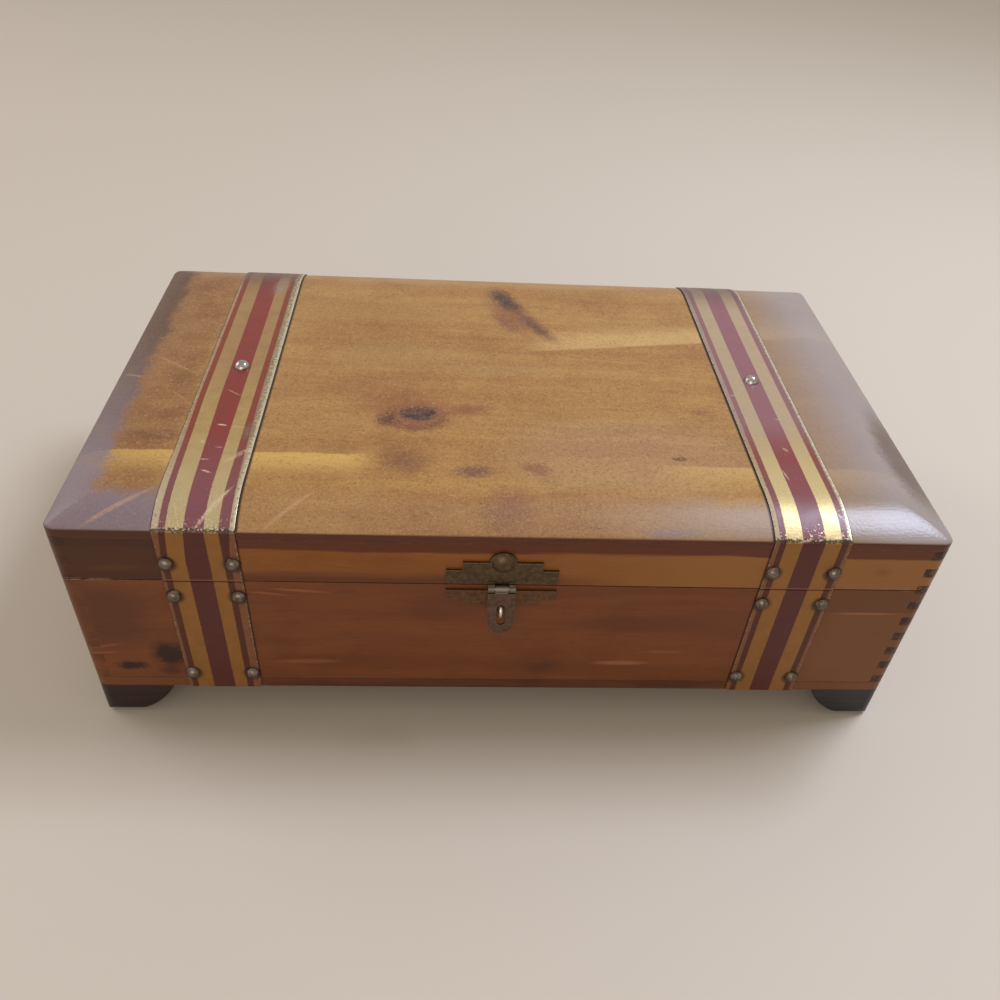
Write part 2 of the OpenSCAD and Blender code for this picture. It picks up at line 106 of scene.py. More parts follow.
# The same in millimetres from the middle of the case's underside, as the patterns use them.
SEAM = ((LID_RIM_Z + BASE_RIM_Z) / 2 - CASE_LOW_Z) * 1000
CREASE = (TOP_Z - PILLOW_DROP - CASE_LOW_Z) * 1000
WIDE, DEEP = HALF_X * 1000, HALF_Y * 1000
STRAPS = [x * 1000 for x in STRAP_X]
BAND = STRAP_W * 1000


def linear(code):
    """Scene colour of a six-digit screen colour."""
    parts = [int(code[i : i + 2], 16) / 255 for i in (1, 3, 5)]
    return [c / 12.92 if c <= 0.04045 else ((c + 0.055) / 1.055) ** 2.4 for c in parts] + [1.0]


class Finish:
    """A material in the making: add puts in any kind of node and gives its output."""

    def __init__(self, name, **shader):
        self.material = bpy.data.materials.new(name)
        self.material.use_nodes = True
        self.tree = self.material.node_tree
        self.shader = self.tree.nodes["Principled BSDF"]
        self.set(**shader)

    def put(self, socket, value):
        if isinstance(value, bpy.types.NodeSocket):
            self.tree.links.new(value, socket)
        elif isinstance(value, str):
            socket.default_value = linear(value)
        elif value is not None:
            socket.default_value = value

    def set(self, **values):
        for name, value in values.items():
            self.put(self.shader.inputs[name.replace("_", " ")], value)

    def add(self, kind, *values, out=None, **settings):
        """kind may carry the node's operation after a dot; values go to its shown inputs in order."""
        kind, _, operation = kind.partition(".")
        made = self.tree.nodes.new("ShaderNode" + kind)
        if operation:
            made.operation = operation
        for name, value in settings.items():
            setattr(made, name, value)
        for socket, value in zip([s for s in made.inputs if s.enabled], values):
            self.put(socket, value)
        if isinstance(out, tuple):
            return [made.outputs[name] for name in out]
        if out:
            return made.outputs[out]
        return next(s for s in made.outputs if s.enabled)


# Settings that many nodes share: a Mix of colours, and a Map Range that eases in and out.
RGB = {"data_type": "RGBA"}
SOFT = {"interpolation_type": "SMOOTHSTEP"}
# Rays that a Bevel node sends out to find an edge.
BEVEL_SAMPLES = 6


def oval(add, place, centre, size, turn=0.0):
    """1 on the rim of an ellipse in X and Y, 0 in its middle; centre and size in millimetres."""
    local = add(
        "Mapping",
        place,
        (centre[0], centre[1], 0),
        (0, 0, math.radians(turn)),
        (size[0], size[1], 1e6),
        vector_type="TEXTURE",
    )
    return add("VectorMath.LENGTH", local)


def millimetres(add):
    """Place in millimetres from the middle of the case's underside, whole and as three numbers."""
    place = add(
        "VectorMath.MULTIPLY_ADD",
        add("TexCoord", out="Object"),
        (1000, 1000, 1000),
        (0, -MID_Y * 1000, -CASE_LOW_Z * 1000),
    )
    return [place] + add("SeparateXYZ", place, out=("X", "Y", "Z"))


def noise(add, place, pitch, detail=3.0, out=None):
    """Soft noise whose blotches are about pitch millimetres across."""
    return add("TexNoise", place, 1 / pitch, detail, 0.6, 2.0, 0.0, out=out)


def streaks(add, place, along, pitch, length, detail, shift=0.0):
    """Noise drawn out along the grain: pitch across it and length along it, in millimetres."""
    size = [1 / pitch] * 3
    size[along] = 1 / length
    stretched = add("Mapping", place, (shift, shift * 1.7, 0), (0, 0, 0), tuple(size))
    return add("TexNoise", stretched, 1.0, detail, 0.55, 2.0, 0.0)


def pushed(add, place, drawn, pushes):
    """A place pushed about by noise, so that what is drawn on it gets ragged edges.

    Each push has the noise's pitch and how far it may reach along the first two axes.
    """
    for pitch, (across, up) in pushes:
        push = noise(add, place, pitch, out="Color")
        drawn = add("VectorMath.MULTIPLY_ADD", push, (across, up, 0.0), drawn)
        drawn = add("VectorMath.SUBTRACT", drawn, (across / 2, up / 2, 0.0))
    return drawn


def worn_rim(add, radius):
    """A softened normal for square edges, and a mask that is 1 where an edge turns."""
    bevel = add("Bevel", radius)
    bevel.node.samples = BEVEL_SAMPLES
    flat = add("NewGeometry", out="Normal")
    turned = add("VectorMath.DOT_PRODUCT", bevel, flat, out="Value")
    return bevel, add("MapRange", turned, 0.995, 0.86)


def product(add, first, *others):
    """Several masks multiplied."""
    for other in others:
        first = add("Math.MULTIPLY", first, other)
    return first


def spots(add, place, colour, table):
    """Soft ovals over a colour: centre, half size, turn, shade, strength, share that stays full."""
    for centre, size, turn, shade, strength, full in table:
        inside = add("MapRange", oval(add, place, centre, size, turn), 1.0, full, 0.0, strength, **SOFT)
        colour = add("Mix", inside, colour, shade, **RGB)
    return colour


def strap_edge_shadows(add, x, share=1.0):
    """Painted shadow in the wood along the straps' edges, thick along the inner edges as if they had
    lifted, thinner along the outer ones.
    """
    dirt_and_shadow = 0.0
    for middle, inner in zip(STRAPS, (1, -1)):
        for side, width, strength in ((inner, 0.9 * share, 0.9 * share), (-inner, 0.5, 0.5 * share)):
            away = add("Math.SUBTRACT", x, middle + side * BAND / 2)
            away = add("Math.ABSOLUTE", away)
            dirt_and_shadow = add("Math.MAXIMUM", dirt_and_shadow, add("MapRange", away, width, width * 0.5, 0.0, strength))
    return dirt_and_shadow


def cedar(name, along, shades, shift, features=None, rough=0.36, veil=0.3, band=1.0):
    """Varnished cedar: drawn-out streaks of three shades, dark end grain, bare wood inside."""
    finish = Finish(name, Specular_IOR_Level=veil)
    add = finish.add
    light, middle, dark = shades
    place, x, y, z = millimetres(add)
    # Growth rings show about 7 mm apart, their fine lines 0.75 mm, the grain's flecks 0.35 mm.
    sway = noise(add, place, 55, 2.0, out="Color")
    bent = add("VectorMath.MULTIPLY_ADD", sway, (9.0, 9.0, 9.0), place)
    broad = streaks(add, bent, along, 7.0, 110.0, 3.0, shift)
    fine = streaks(add, bent, along, 0.75, 26.0, 4.0, shift + 3)
    fleck = streaks(add, place, along, 0.35, 1.8, 2.0, shift + 5)
    cloud = noise(add, place, 22)
    colour = add("Mix", add("MapRange", broad, 0.34, 0.66, 0.0, band, **SOFT), middle, light, **RGB)
    colour = add("Mix", add("MapRange", cloud, 0.5, 0.78, 0.0, 0.55), colour, dark, **RGB)
    colour = add("Mix", add("MapRange", fine, 0.52, 0.74, 0.0, 0.5 * band), colour, dark, **RGB)
    colour = add("Mix", add("MapRange", fleck, 0.6, 0.8, 0.0, 0.35), colour, light, **RGB)
    colour = add("Mix", add("MapRange", fleck, 0.42, 0.25, 0.0, 0.45), colour, dark, **RGB)
    sheen = add("MapRange", cloud, 0.3, 0.7, rough - 0.05, rough + 0.08)
    relief = add("Math.MULTIPLY_ADD", fine, 0.6, add("Math.MULTIPLY", fleck, 0.25))
    if features:
        colour, sheen, relief = features(add, place, x, y, z, colour, sheen, relief, fine)
    # End grain drinks in the stain: almost black at the right corners, faint at the left ones.
    facing = add("SeparateXYZ", add("TexCoord", out="Normal"), out=("X", "Y", "Z"))
    end = add("Math.GREATER_THAN", add("Math.ABSOLUTE", facing[along]), 0.8)
    pores = noise(add, place, 0.8, 2.0)
    end_shade = add("Mix", pores, "#150905", "#33180e", **RGB)
    taken = add("MapRange", noise(add, place, 1.3), 0.36, 0.5, 0.45, 1.0)
    end = product(add, end, taken, add("MapRange", x, -60.0, 60.0, 0.28, 0.92))
    colour = add("Mix", end, colour, end_shade, **RGB)
    # The cedar was never varnished inside: over 4 mm in from the sides, 3 mm up from below.
    inner_x = add("Math.LESS_THAN", add("Math.ABSOLUTE", x), WIDE - 4)
    inner_y = add("Math.LESS_THAN", add("Math.ABSOLUTE", y), DEEP - 4)
    inner_z = add("Math.GREATER_THAN", z, 3.0)
    below = add("Math.LESS_THAN", z, (BOARD_LOW[2] - CASE_LOW_Z) * 1000 + 1)
    bare = product(add, inner_x, inner_y, inner_z, below)
    bare_shade = add("Mix", add("MapRange", broad, 0.32, 0.68, **SOFT), "#b27550", "#cf9f74", **RGB)
    bare_shade = add("Mix", add("MapRange", fine, 0.5, 0.74, 0.0, 0.4), bare_shade, "#93573c", **RGB)
    colour = add("Mix", bare, colour, bare_shade, **RGB)
    sheen = add("Mix", bare, sheen, 0.72)
    # Handling wears the varnish thin along edges, most on the seam's rims at the front corners.
    softened, edge = worn_rim(add, 0.00045)
    wear = noise(add, place, 2.8)
    edge = add("Math.MULTIPLY", edge, add("MapRange", wear, 0.48, 0.62, 0.0, 0.35))
    colour = add("Mix", edge, colour, "#9a6a44", **RGB)
    rim = add("MapRange", add("Math.ABSOLUTE", add("Math.SUBTRACT", z, SEAM)), 0.45, 0.25)
    left_end = add("MapRange", x, -118.0, -128.0, 0.0, 0.9)
    right_end = add("MapRange", x, 128.0, 131.0, 0.0, 0.35)
    upright = add("Math.LESS_THAN", add("Math.ABSOLUTE", facing[2]), 0.5)
    in_front = add("Math.LESS_THAN", y, 4 - DEEP)
    chipped = add("MapRange", wear, 0.42, 0.5)
    rim = product(add, rim, add("Math.MAXIMUM", left_end, right_end), upright, in_front, chipped)
    colour = add("Mix", rim, colour, "#c9a68a", **RGB)
    finish.set(Base_Color=colour, Roughness=sheen)
    finish.set(Normal=add("Bump", 0.12, 0.0006, 1.0, relief, softened))
    return finish.material


def top_figure(add, place, x, y, z, colour, sheen, relief, fine):
    """The lid board's own figure: sapwood bands, knots, bare round-overs with a painted reflection, a
    painted sheen on the right end, rubs.
    """
    ragged = noise(add, place, 11, 4.0)
    speck = noise(add, place, 0.9)
    # The stains' edges wander, and break up into single dark and light pores.
    wander = pushed(add, place, place, ((4.5, (5.0, 4.0)), (1.1, (6.0, 5.0))))

    # The end left of the left strap is a darker, redder brown than the rest.
    end = add("MapRange", x, -104.0, -112.0, 0.0, add("MapRange", ragged, 0.35, 0.65, 0.45, 0.7))
    colour = add("Mix", end, colour, "#7c4c26", **RGB)
    # Sapwood in front: below a sharp line that bends down at the right end, fading forwards.
    bend = add("Math.POWER", add("MapRange", x, 118.0, 140.0, 0.0, 22.0), 2.0)
    line = add("Math.ADD", y, add("MapRange", x, 0.0, 50.0, 50.3, 52.8))
    line = add("Math.MULTIPLY_ADD", bend, 0.025, line)
    line = add("Math.ADD", line, add("Math.MULTIPLY_ADD", ragged, 2.0, -1.0))
    left_part = add("MapRange", x, -42.0, -52.0)
    reach = add("Math.ADD", left_part, add("MapRange", x, 46.0, 62.0, 0.0, 0.7))
    reach = add("Math.MULTIPLY", reach, add("MapRange", x, -126.0, -104.0, 0.65, 1.0))
    below_line = add("MapRange", line, 0.3, -0.4)
    sap = product(add, below_line, add("MapRange", line, -14.0, -1.0, 0.12, 1.0, **SOFT), reach)
    colour = add("Mix", sap, colour, "#cfa254", **RGB)
    # Sapwood at the back right: above a sharp slanting line, fading backwards.
    slant = add("Math.SUBTRACT", add("Math.MULTIPLY_ADD", x, -0.151, y), 15.4)
    gold = product(
        add,
        add("MapRange", slant, -0.4, 0.9),
        add("MapRange", slant, 19.0, 5.0, **SOFT),
        add("MapRange", x, 4.0, 28.0, 0.0, 0.95, **SOFT),
        add("MapRange", ragged, 0.3, 0.55, 0.55, 1.0),
    )
    colour = add("Mix", gold, colour, "#c9a063", **RGB)

    stains_and_gloss = [
        ((-52, 32), (36, 30), 0, "#8f5a22", 0.35, 0.3),
        ((40, -48), (58, 28), 0, "#ab9074", 0.25, 0.4),
        ((-62, 42), (34, 7), 2, "#ad8448", 0.5, 0.1),
        ((-40, 12), (40, 14), 3, "#a37c46", 0.45, 0.1),
        ((0, 4), (30, 8), 3, "#a98250", 0.45, 0.1),
        ((30, -66), (13, 5), 0, "#a97440", 0.45, 0.1),
        ((-34, -23), (27, 14), -14, "#85492b", 0.6, 0.2),
        ((-12, -23), (12, 5.5), 14, "#824630", 0.6, 0.1),
        ((-31, -29), (12.8, 9.8), 0, "#6d3722", 0.75, 0.6),
        ((-41, -30.5), (5.5, 7.5), -35, "#54291a", 0.75, 0.2),
        ((-30.8, -27.4), (9.4, 7.2), 0, "#94623f", 0.6, 0.8),
        ((-30.9, -26.7), (7.6, 5.3), 0, "#4b332b", 0.92, 0.6),
        ((-26.3, -26.4), (1.6, 4.2), -14, "#1d1312", 0.8, 0.3),
        ((-34.0, -26.4), (1.6, 1.2), 0, "#8a6a4c", 0.5, 0.2),
        ((-33.0, -28.0), (3.4, 2.2), 0, "#241917", 0.7, 0.2),
        ((-8.5, -44.5), (1.3, 0.7), 35, "#2e1c12", 0.8, 0.3),
        ((6, 46), (25, 11), -61, "#7d452b", 0.7, 0.2),
        ((2, 40), (13, 5), -64, "#764130", 0.55, 0.1),
        ((15, 36), (19, 4.6), -59, "#55312b", 0.85, 0.1),
        ((3, 58), (16, 6.6), -61, "#2f1c1e", 0.92, 0.2),
        ((-35, -53), (13, 9), -20, "#744430", 0.7, 0.1),
        ((-11.5, -58), (9.5, 4.8), 0, "#5f3b3c", 0.75, 0.1),
        ((8.5, -56), (7.5, 5), -25, "#7d4e37", 0.65, 0.1),
        ((0, -75), (12, 14), 0, "#825340", 0.6, 0.1),
        # Painted reflection: a lilac gloss on the front edge.
        ((50, -82), (14, 2.2), 0, "#776c86", 0.45, 0.2),
        ((57.5, -49), (5.5, 1.5), -8, "#56301f", 0.75, 0.2),
        ((70, -21.5), (4.5, 2.4), 0, "#80492f", 0.55, 0.2),
        ((-52, -8), (20, 8), 15, "#8a5631", 0.45, 0.1),
        ((-114, -9), (8, 6), 0, "#7a4c24", 0.55, 0.3),
        ((-117, -43), (16, 6), 0, "#6e3f20", 0.65, 0.1),
        ((-112, 30), (14, 9), 10, "#96683a", 0.4, 0.1),
    ]
    colour = spots(add, wander, colour, stains_and_gloss)
    # A mottle of small light and dark grains lies all over the old varnish.
    grains = noise(add, place, 0.8, 2.0)
    colour = add("Mix", add("MapRange", grains, 0.55, 0.68, 0.0, 0.3), colour, "#d0a672", **RGB)
    colour = add("Mix", add("MapRange", grains, 0.45, 0.32, 0.0, 0.38), colour, "#5c371d", **RGB)
    # Dark pin pricks, thickest in two patches behind the front edge.
    prick = add("MapRange", noise(add, place, 0.6, 2.0), 0.57, 0.63)
    where = 0.0
    for centre, size, turn in (((-6, -79), (8, 8), 0), ((23, -79), (10, 6), -40)):
        patch = add("MapRange", oval(add, wander, centre, size, turn), 1.0, 0.3, 0.08, 0.75)
        where = add("Math.MAXIMUM", where, patch)
    colour = add("Mix", add("Math.MULTIPLY", prick, where), colour, "#4a3324", **RGB)

    # The round-overs lost their varnish and carry a painted reflection of the sky: dark red-brown
    # behind, paler and cooler in front.
    torn = add("Math.MULTIPLY_ADD", ragged, 16.0, -8.0)
    torn = add("Math.ADD", torn, add("Math.MULTIPLY_ADD", speck, 11.0, -5.5))
    from_left = add("Math.ADD", add("Math.ADD", x, WIDE), torn)
    from_front = add("Math.ADD", add("Math.ADD", y, DEEP), torn)
    left = add("MapRange", from_left, 13.0, 9.5, 0.0, 0.9)
    front = add("MapRange", from_front, 18.0, 9.0, **SOFT)
    share = add("MapRange", x, -100.0, -92.0, 0.9, 0.12)
    share = add("Math.MAXIMUM", share, add("MapRange", x, 10.0, 70.0, 0.0, 0.6))
    worn_and_sheen_shade = add("Mix", add("MapRange", y, 28.0, -62.0), "#3f1e11", "#7d7078", **RGB)
    worn_and_sheen_shade = add("Mix", add("MapRange", x, -96.0, 20.0), worn_and_sheen_shade, "#948373", **RGB)
    worn_and_sheen = add("Math.MAXIMUM", left, add("Math.MULTIPLY", front, share))
    worn_and_sheen = add("Math.MULTIPLY", worn_and_sheen, add("MapRange", speck, 0.3, 0.6, 0.7, 1.0))
    colour = add("Mix", worn_and_sheen, colour, worn_and_sheen_shade, **RGB)
    # Painted reflection: a greyish sheen over the right end and a paler silvery one towards its edge,
    # with brown left along its outer edge.
    grey_sheen = add("Math.ADD", x, add("Math.MULTIPLY", torn, 0.4))
    grey_sheen = add("MapRange", grey_sheen, 84.0, 112.0, 0.0, 0.62, **SOFT)
    colour = add("Mix", grey_sheen, colour, "#8c7b6d", **RGB)
    silver_sheen = add("MapRange", x, 106.0, 128.0, 0.0, 0.5, **SOFT)
    colour = add("Mix", silver_sheen, colour, "#a19a9c", **RGB)
    brown = add("MapRange", oval(add, wander, (137, -43), (10, 36)), 1.0, 0.4, 0.0, 0.7, **SOFT)
    colour = add("Mix", brown, colour, "#553a2b", **RGB)

    # Broad pale rubs and short scratches that cross the grain.
    rubs = [
        ((-119, -76.2), (13.3, 1.0), 37, 0.5),
        ((-68, -76.3), (12.4, 0.9), 45, 0.45),
        ((-133.5, -4.5), (6, 0.6), -33, 0.4),
        ((-119.7, 1.2), (13.5, 0.6), -35, 0.35),
        ((-113.8, -19.2), (5.5, 0.35), -43, 0.3),
        ((-119.0, 55.0), (7.0, 0.4), -20, 0.35),
        ((-50, 38), (9, 0.25), 25, 0.25),
    ]
    for centre, size, turn, strength in rubs:
        mark = add("MapRange", oval(add, place, centre, size, turn), 1.0, 0.5, 0.0, strength)
        mark = add("Math.MULTIPLY", mark, add("MapRange", speck, 0.35, 0.6, 0.5, 1.0))
        colour = add("Mix", mark, colour, "#cfa078", **RGB)
    # Pale dust stays in the pores, most where the varnish is gone.
    dust = add("MapRange", noise(add, place, 0.45, 2.0), 0.58, 0.68, 0.0, 0.3)
    dust = add("Math.MULTIPLY", dust, add("MapRange", worn_and_sheen, 0.0, 0.5, 0.25, 1.0))
    colour = add("Mix", dust, colour, "#c4a387", **RGB)
    # Painted shadow along the straps' edges.
    colour = add("Mix", strap_edge_shadows(add, x), colour, "#1d1109", **RGB)
    # At the front right corner the varnish is whole, glossy and pebbled.
    whole = product(add, add("MapRange", x, 98.0, 106.0), add("MapRange", from_front, 27.0, 20.0))
    sheen = add("Mix", worn_and_sheen, sheen, 0.4)
    sheen = add("Mix", whole, sheen, 0.26)
    pebble = product(add, whole, noise(add, place, 0.8, 2.0), 0.7)
    return colour, sheen, add("Math.ADD", relief, pebble)


def lid_edge_figure(add, place, x, y, z, colour, sheen, relief, fine):
    """The top board: its figure above, plain dark heartwood on its upright edge."""
    colour, sheen, relief = top_figure(add, place, x, y, z, colour, sheen, relief, fine)
    upright = add("MapRange", z, CREASE + 0.1, CREASE - 0.4)
    shade = add("Mix", add("MapRange", fine, 0.4, 0.7), "#5e2b14", "#4b2110", **RGB)
    shade = add("Mix", add("MapRange", x, -98.0, -108.0, 0.0, 0.8), shade, "#4a2711", **RGB)
    return add("Mix", upright, colour, shade, **RGB), sheen, relief


def lid_side_figure(add, place, x, y, z, colour, sheen, relief, fine):
    """The lid's upright faces: dark heartwood above, ochre sapwood below, reddish at the seam."""
    squeezed = add("VectorMath.MULTIPLY", place, (1, 1, 8))
    level = add("Math.MULTIPLY_ADD", noise(add, squeezed, 33, 2.0), 3.0, z)
    low = add("MapRange", level, 58.5, 55.5, 0.0, 0.9)
    low = add("Math.MULTIPLY", low, add("MapRange", x, 40.0, 5.0))
    heart = add("MapRange", level, 66.8, 67.7, 0.0, 0.95)
    left = add("MapRange", x, -98.0, -108.0, 0.0, 0.9)
    colour = add("Mix", add("MapRange", x, 0.0, 60.0, 0.0, 0.8), colour, "#93622f", **RGB)
    colour = add("Mix", low, colour, "#5d2f12", **RGB)
    colour = add("Mix", heart, colour, "#5c2a13", **RGB)
    colour = add("Mix", left, colour, "#43220e", **RGB)
    smudges = [
        ((-122, 57), (12, 2.2), 3, "#5e3c1c", 0.5, 0.1),
        ((120, 60), (4, 3), 0, "#6b3f18", 0.4, 0.1),
    ]
    colour = spots(add, add("CombineXYZ", x, z, 0.0), colour, smudges)
    # Painted shadow along the straps' edges.
    return add("Mix", strap_edge_shadows(add, x, 0.6), colour, "#1d1109", **RGB), sheen, relief


def base_figure(add, place, x, y, z, colour, sheen, relief, fine):
    """The base front: two dark knots by the left strap, scuffs, a lighter right end with a band of
    painted shade below the seam.
    """
    # The back board carries the same marks turned about, so that the two don't repeat.
    across = add("Mix", add("Math.GREATER_THAN", y, 0.0), x, add("Math.SUBTRACT", 60.0, x))
    flat = add("CombineXYZ", across, z, 0.0)
    wander = pushed(add, place, flat, ((5, (4.0, 3.0)), (1.1, (5.0, 4.0))))
    colour = add("Mix", add("MapRange", x, 96.0, 112.0, 0.0, 0.75), colour, "#744924", **RGB)
    # Painted shade: a darker band over the upper part of the right end, below the seam.
    upper = product(add, add("MapRange", x, 96.0, 110.0), add("MapRange", z, 40.5, 41.5, 0.0, 0.6))
    colour = add("Mix", upper, colour, "#5e3317", **RGB)
    knots = [
        ((-125.4, 10.6), (6.5, 3.2), 0, "#2c120a", 0.95, 0.3),
        ((-112.0, 16.5), (8.0, 9.0), 20, "#2b1109", 0.97, 0.3),
        ((-113.0, 8.0), (6.0, 3.5), 0, "#3c1c0f", 0.7, 0.2),
        ((-60.0, 14.5), (30.0, 4.0), 0, "#57290f", 0.5, 0.2),
        ((40.0, 34.5), (38.0, 5.0), 0, "#5c2e14", 0.5, 0.2),
        ((-20.0, 41.5), (22.0, 9.0), 0, "#542912", 0.45, 0.2),
        ((15.0, 12.0), (10.0, 5.0), 10, "#4e2a15", 0.6, 0.1),
        ((-128.0, 34.0), (20.0, 22.0), 0, "#4c2711", 0.6, 0.2),
    ]
    colour = spots(add, wander, colour, knots)
    scuffs = [
        ((121.0, 40.5), (14.0, 0.7), 0, "#a06a42", 0.6, 0.4),
        ((-66.0, 48.0), (13.0, 0.8), -4, "#a0603a", 0.55, 0.3),
        ((-76.0, 46.5), (9.0, 0.6), -6, "#a0603a", 0.5, 0.3),
        ((-66.0, 13.5), (15.0, 1.7), 1, "#a0603a", 0.4, 0.3),
        ((-132.0, 20.5), (7.0, 0.7), 12, "#a0603a", 0.45, 0.3),
        ((-134.0, 17.0), (7.0, 0.6), 4, "#a0603a", 0.45, 0.3),
        ((41.0, 14.0), (13.0, 1.6), 0, "#a26a48", 0.55, 0.3),
        ((56.0, 20.0), (9.0, 1.0), 0, "#96603f", 0.35, 0.3),
    ]
    colour = spots(add, flat, colour, scuffs)
    # Painted shadow along the straps' edges.
    return add("Mix", strap_edge_shadows(add, x, 0.6), colour, "#1d1109", **RGB), sheen, relief


def floor_figure(add, place, x, y, z, colour, sheen, relief, fine):
    """The bottom board's edge: lighter towards both ends, under a fine dark joint line."""
    ends = add("MapRange", add("Math.ABSOLUTE", x), 70.0, 110.0, 0.0, 0.7)
    colour = add("Mix", ends, colour, "#7a461f", **RGB)
    return add("Mix", add("MapRange", z, 4.1, 4.5, 0.0, 0.7), colour, "#32160b", **RGB), sheen, relief


def painted_tin(name):
    """Strap metal printed with lengthwise stripes, rubbed to bare tin on edges and scratches, with
    painted shade on its fronts and painted sheen on its top.
    """
    finish = Finish(name, Specular_IOR_Level=0.35)
    add = finish.add
    place, x, y, z = millimetres(add)
    right = add("Math.GREATER_THAN", x, 0.0)
    middle = add("Mix", right, STRAPS[0], STRAPS[1])
    off = add("Math.SUBTRACT", x, middle)
    grit = noise(add, place, 0.7, 4.0)
    patch = noise(add, place, 6)
    share = add("Math.MULTIPLY_ADD", off, 1 / BAND, add("Math.MULTIPLY_ADD", grit, 0.02, 0.49))
    above = add("MapRange", z, CREASE - 0.4, CREASE + 0.4)
    # The stripes sit a little off: further right on the right strap, and on the left one
    # they wander apart towards its front.
    spread = add("MapRange", share, 0.38, 0.62, 0.045, 0.0)
    spread = add("Math.ADD", spread, add("MapRange", share, 0.82, 0.93, 0.0, 0.05))
    in_front = add("MapRange", y, -20.0, -70.0)
    spread = product(add, spread, in_front, add("MapRange", z, CREASE - 12, CREASE))
    shift = add("Mix", right, spread, add("MapRange", share, 0.65, 0.86, 0.02, 0.06))
    printed = add("Math.SUBTRACT", share, shift)
    # Each stripe starts at a share of the width: its colour on the fronts, darker there as painted
    # shade, its colour on the top, and whether gold.
    stripes = [
        (0.04, "#4e1c0c", "#82351f", 0.0),
        (0.12, "#92622b", "#b5945a", 1.0),
        (0.335, "#521c17", "#842c26", 0.0),
        (0.625, "#92622b", "#b5945a", 1.0),
        (0.80, "#4e1c0c", "#82351f", 0.0),
        (0.885, "#7c4c2c", "#927858", 0.0),
    ]
    # Painted shade: the fronts take darker copies of the top's colours, for the unprinted field and for
    # every stripe.
    colour = add("Mix", above, "#7c4c2c", "#a58460", **RGB)
    gilt = 0.0
    for start, below, top, gold in stripes:
        shade = add("Mix", above, below, top, **RGB)
        from_here = add("MapRange", printed, start, start + 0.008)
        colour = add("Mix", from_here, colour, shade, **RGB)
        gilt = add("Mix", from_here, gilt, gold)
    colour = add("Mix", add("MapRange", patch, 0.4, 0.75, 0.0, 0.25), colour, "#5a3a22", **RGB)
    rubbed = product(add, gilt, above, add("MapRange", grit, 0.56, 0.68, 0.0, 0.45))
    colour = add("Mix", rubbed, colour, "#6e5a3a", **RGB)
    # Both tops fade towards the front crease and darken over the back; the right one is greyed by a
    # painted reflection, lighter on its gold.
    right_sheen_reach = add("MapRange", y, -48.0, -28.0)
    colour = add("Mix", product(add, right, above, right_sheen_reach, 0.3), colour, "#9c919a", **RGB)
    colour = add("Mix", product(add, right, above, gilt, 0.25), colour, "#c9b894", **RGB)
    left = add("Math.SUBTRACT", 1.0, right)
    tanned = product(add, left, above, gilt, add("MapRange", y, -36.0, 8.0, 0.0, 0.45))
    colour = add("Mix", tanned, colour, "#8f6242", **RGB)
    back = product(add, add("MapRange", y, 52.0, 78.0, 0.0, 0.75, **SOFT), above)
    colour = add("Mix", back, colour, "#54393a", **RGB)
    # Towards the front crease the print fades and takes a painted sheen: pale gold, and lilac on the
    # plain stripes.
    faded_and_sheen = product(add, add("MapRange", y, -38.0, -76.0), above)
    pale = add("MapRange", grit, 0.35, 0.6, 0.35, 0.85)
    pale = add("Math.MULTIPLY", pale, add("Mix", right, 0.8, 1.0))
    gold_fade_and_sheen = product(add, faded_and_sheen, gilt, pale)
    colour = add("Mix", gold_fade_and_sheen, colour, add("Mix", right, "#c9b98e", "#dac586", **RGB), **RGB)
    field = product(add, add("MapRange", printed, 0.035, 0.045), add("MapRange", printed, 0.89, 0.88))
    plain_sheen = product(add, faded_and_sheen, add("Math.SUBTRACT", 1.0, gilt), field, 0.45)
    colour = add("Mix", plain_sheen, colour, "#7a5f68", **RGB)
    rim_fade = product(add, faded_and_sheen, add("Math.SUBTRACT", 1.0, field), 0.6)
    colour = add("Mix", rim_fade, colour, "#cdb994", **RGB)
    # Bare tin: along the two long edges, behind the lid's sharp crease and in scattered rubs.
    from_edge = add("Math.SUBTRACT", 0.5, add("Math.ABSOLUTE", add("Math.SUBTRACT", share, 0.5)))
    broad = add("MapRange", printed, 0.88, 0.92, 0.0, 0.21)
    rim = add("Math.ADD", add("MapRange", from_edge, 0.05, 0.0, -0.14, 0.1), product(add, broad, above))
    crease = add("MapRange", z, CREASE + 3.2, CREASE + 0.6, -0.09, 0.07)
    crease = add("Mix", above, -0.14, crease)
    need = add("Math.MAXIMUM", rim, crease)
    fleck = add("MapRange", add("Math.ADD", grit, need), 0.6, 0.65)
    bare = add("Math.MULTIPLY", fleck, add("MapRange", above, 0.0, 1.0, 0.35, 0.85))
    colour = add("Mix", bare, colour, "#d3c9a8", **RGB)
